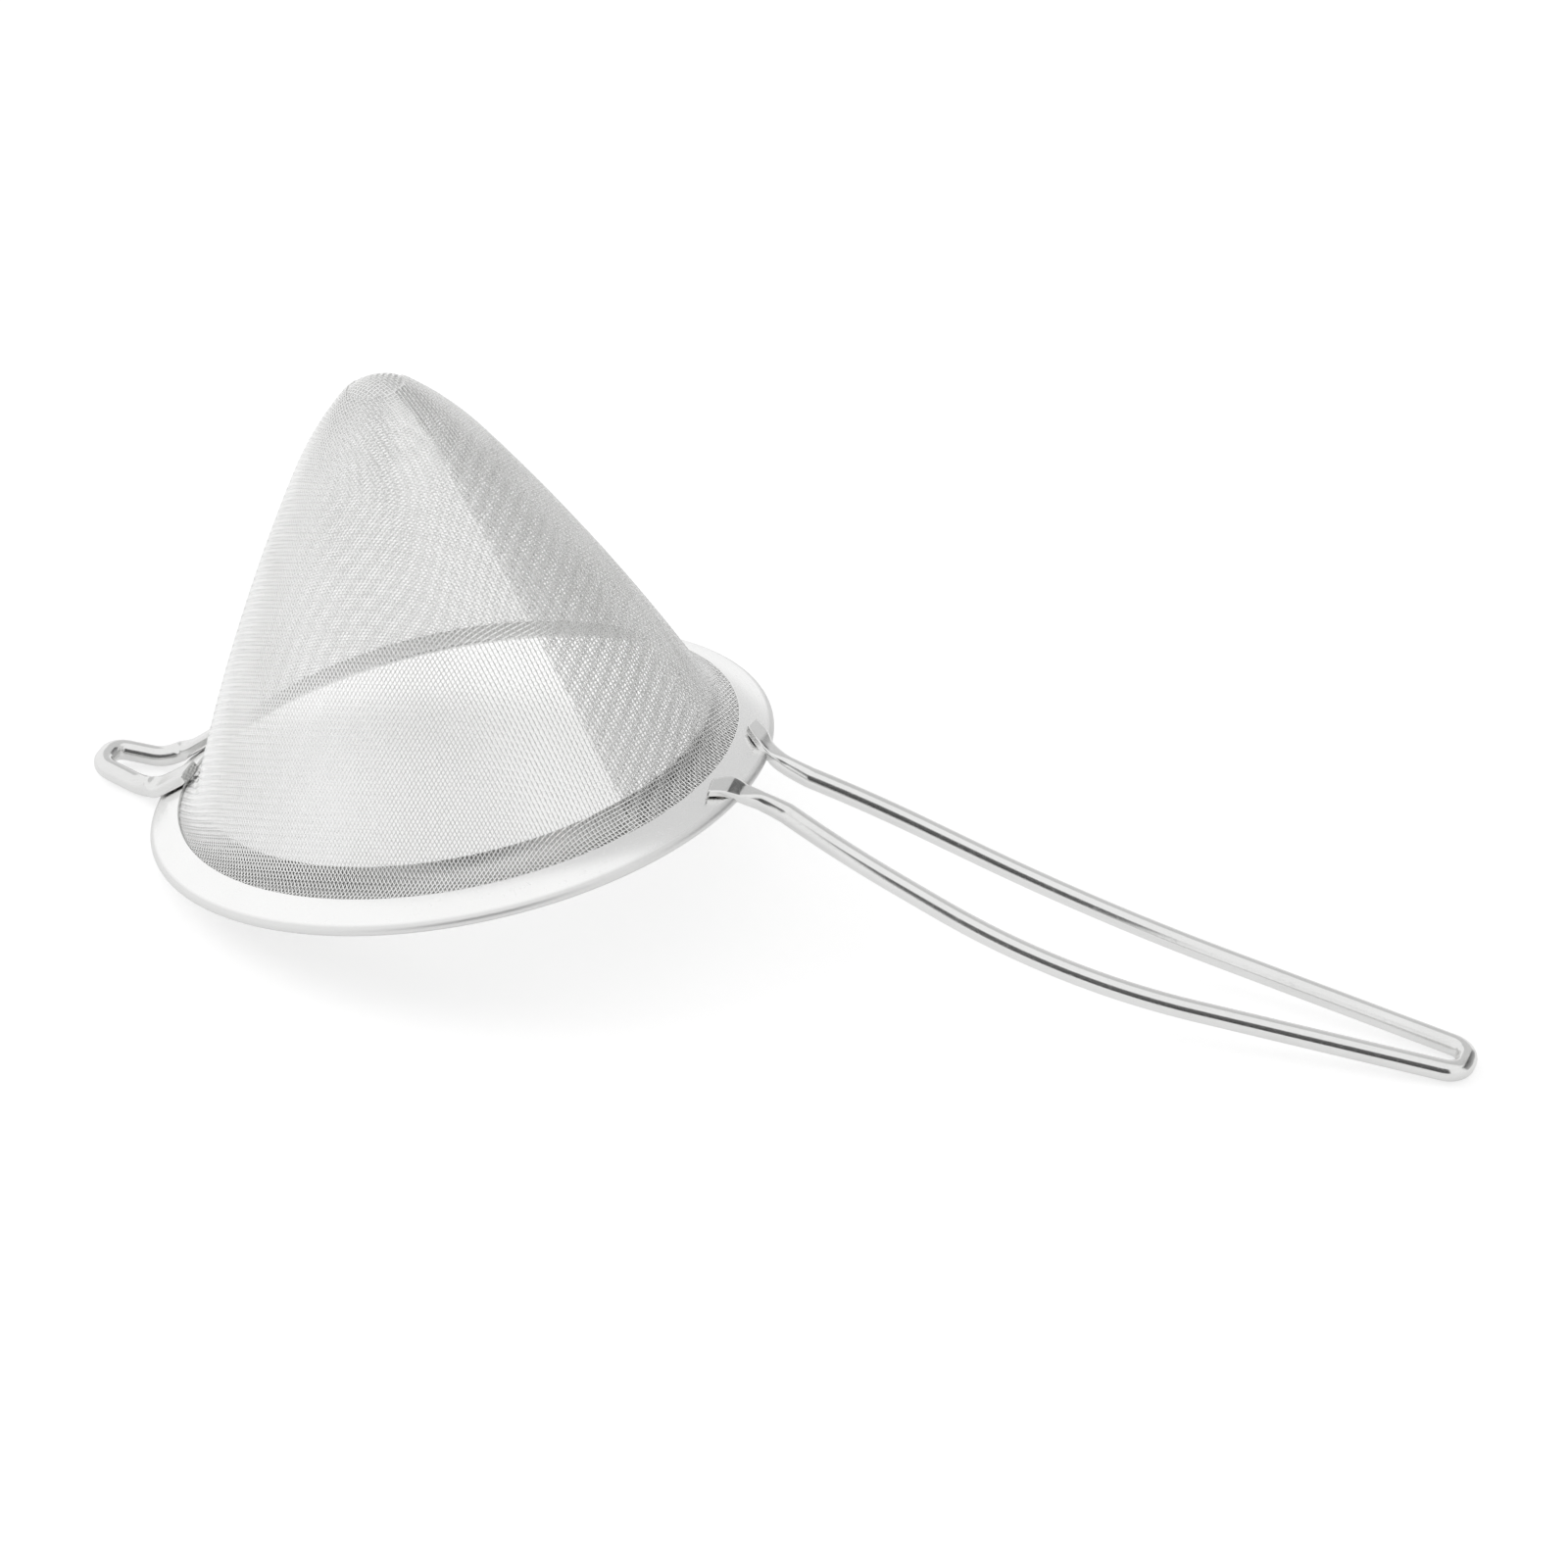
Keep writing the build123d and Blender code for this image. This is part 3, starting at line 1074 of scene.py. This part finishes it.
@dataclass
class SteelParts:
    """The spun band, the bent wires, and the CAD's own solids with their finishes."""

    wall: ClothWall = field(default_factory=ClothWall)
    loops: tuple[BentWire, ...] = (HANDLE_LOOP, HOOK_LOOP)
    # The support ring's finish carries painted shade in its darker colour.
    finishes: dict[str, SteelFinish] = field(default_factory=lambda: {
        "support_ring": SHADED_RING_STEEL, "handle_welds": WELD_STEEL, "hook_welds": WELD_STEEL})

    def dress(self, rim: RimFrame) -> list[bpy.types.Object]:
        """Gives each solid its finish.

        Args:
            rim: the rim's frame.

        Returns:
            The dressed nodes.
        """
        nodes = []
        for name, finish in self.finishes.items():
            node = frame["nodes"][name]
            node.data.materials.clear()
            node.data.materials.append(finish.material(rim))
            nodes.append(node)
        return (nodes + [SpunBand(self.wall).build(rim)]
                + [loop.build(rim, self.wall) for loop in self.loops])


@dataclass
class PhotoCamera:
    """The camera where the photograph was taken from."""

    place: tuple[float, float, float] = (0.19037081, -0.67408935, 0.44683431)
    ahead: tuple[float, float, float] = (-0.23103161, 0.82325321, -0.51853501)
    right: tuple[float, float, float] = (0.95092388, 0.30381232, 0.0586672)
    lens: float = 135.147
    sensor: float = 36.0
    nearest: float = 0.05
    farthest: float = 50.0

    def build(self) -> bpy.types.Object:
        """Makes it the scene's camera.

        Returns:
            The camera.
        """
        data = bpy.data.cameras.new("photo_camera")
        data.lens = self.lens
        data.sensor_width = self.sensor
        data.clip_start = self.nearest
        data.clip_end = self.farthest
        camera = linked("photo_camera", data)
        ahead, right = Vector(self.ahead).normalized(), Vector(self.right).normalized()
        turn = Matrix((right, right.cross(ahead), -ahead)).transposed().to_4x4()
        camera.matrix_world = Matrix.Translation(self.place) @ turn
        bpy.context.scene.camera = camera
        return camera


@dataclass(frozen=True)
class SoftLamp:
    """A square area lamp and where it points, in the row frame in metres."""

    name: str
    place: tuple[float, float, float]
    aim: tuple[float, float, float]
    size: float
    power: float

    def build(self) -> bpy.types.Object:
        """Makes the lamp, which reflections don't show.

        Returns:
            The lamp.
        """
        data = bpy.data.lights.new(self.name, "AREA")
        data.shape = "SQUARE"
        data.size = self.size
        data.energy = self.power
        lamp = linked(self.name, data)
        lamp.matrix_world = aimed(self.place, self.aim, "-Z")
        lamp.visible_glossy = False
        return lamp


@dataclass(frozen=True)
class StudioCard:
    """A matt card that only the steel's reflections show, in the row frame in metres."""

    name: str
    place: tuple[float, float, float]
    aim: tuple[float, float, float]
    width: float
    height: float
    low_grey: float
    high_grey: float

    def build(self) -> bpy.types.Object:
        """Makes the card.

        Returns:
            The card.
        """
        shape = bmesh.new()
        bmesh.ops.create_grid(shape, x_segments=1, y_segments=1, size=0.5)
        bmesh.ops.scale(shape, vec=(self.width, self.height, 1.0), verts=shape.verts)
        bmesh.ops.transform(shape, verts=shape.verts, matrix=aimed(self.place, self.aim, "Z"))
        levels = [vert.co.z for vert in shape.verts]
        card = meshed(self.name, shape, self.material(min(levels), max(levels)))
        card.visible_camera = False
        card.visible_diffuse = False
        card.visible_shadow = False
        return card

    def material(self, low: float, high: float) -> bpy.types.Material:
        """Makes a glow that is graded from the card's low edge up to its high one.

        Args:
            low: the low edge's height in metres.
            high: the high edge's height in metres.

        Returns:
            The glow.
        """
        material = bpy.data.materials.new(self.name)
        material.use_nodes = True
        web = NodeWeb(material.node_tree)
        parts = web.add("SeparateXYZ", {0: web.add("TexCoord").outputs["Object"]})
        level = web.ramp(parts.outputs["Z"], low, high, self.low_grey, self.high_grey)
        glow = web.add("Emission", {"Strength": level})
        web.add("OutputMaterial", {"Surface": glow.outputs[0]})
        return material


@dataclass
class Studio:
    """The plain pale floor, the white surround, the soft lamp and the cards."""

    floor_half: float = 4.0
    floor_grey: float = 0.55
    floor_glow: float = 0.6
    floor_sheen: float = 0.45
    world_level: float = 0.8
    lamps: tuple[SoftLamp, ...] = (
        SoftLamp("lamp_left", (-1.3, -0.1, 1.0), (-0.02, 0.0, 0.02), 1.0, 5.0),
    )
    cards: tuple[StudioCard, ...] = (
        StudioCard("card_front", (0.31, -0.95, 0.53), (0.0, 0.0, 0.53), 0.85, 1.05, 0.06, 0.16),
        StudioCard("card_back", (0.25, 1.3, 1.15), (0.0, 0.0, 0.1), 2.4, 1.7, 0.72, 0.64),
        StudioCard("card_right", (1.1, 0.85, 0.5), (0.0, 0.0, 0.1), 1.7, 1.05, 0.55, 0.04),
    )

    def floor(self) -> bpy.types.Object:
        """Makes the floor, which keeps the strainer's shadow.

        Returns:
            The floor.
        """
        material = bpy.data.materials.new("pale_floor")
        material.use_nodes = True
        web = NodeWeb(material.node_tree)
        matt = web.add("BsdfDiffuse", {"Color": (self.floor_grey,) * 3 + (1.0,)})
        rays = web.add("LightPath").outputs
        glow = web.maths("ADD", web.maths("MULTIPLY", rays["Is Camera Ray"], self.floor_glow),
                         web.maths("MULTIPLY", rays["Is Glossy Ray"], self.floor_sheen))
        white = web.add("Emission", {"Strength": glow})
        both = web.add("AddShader", {0: matt.outputs[0], 1: white.outputs[0]})
        web.add("OutputMaterial", {"Surface": both.outputs[0]})
        shape = bmesh.new()
        bmesh.ops.create_grid(shape, x_segments=1, y_segments=1, size=self.floor_half)
        floor = meshed("floor", shape, material)
        return floor

    def world(self) -> None:
        """Makes the surround: white where it is seen, a plain level where it lights."""
        world = bpy.data.worlds.new("surround")
        world.use_nodes = True
        web = NodeWeb(world.node_tree)
        light, white = (web.add("Background", {"Color": (1.0, 1.0, 1.0, 1.0), "Strength": level})
                        for level in (self.world_level, 1.0))
        rays = web.add("LightPath").outputs
        seen = web.maths("MAXIMUM", rays["Is Camera Ray"], web.maths(
            "MAXIMUM", rays["Is Glossy Ray"], rays["Is Transmission Ray"]))
        mix = web.add("MixShader", {"Fac": seen, 1: light.outputs[0], 2: white.outputs[0]})
        web.add("OutputWorld", {"Surface": mix.outputs[0]})
        bpy.context.scene.world = world

    def build(self) -> None:
        """Makes the whole studio."""
        self.floor()
        self.world()
        for light in self.lamps + self.cards:
            light.build()


def main() -> None:
    """Builds the strainer's looks, its studio and its camera."""
    logging.basicConfig(level=logging.INFO, format="%(message)s")
    bpy.context.scene.view_settings.view_transform = "Standard"
    rim = RimFrame.from_record(frame["record"])
    PhotoCamera().build()
    Studio().build()
    for piece in WovenCone().build(rim) + SteelParts().dress(rim):
        log.info("piece %s", piece.name)


if __name__ == "__main__":
    main()
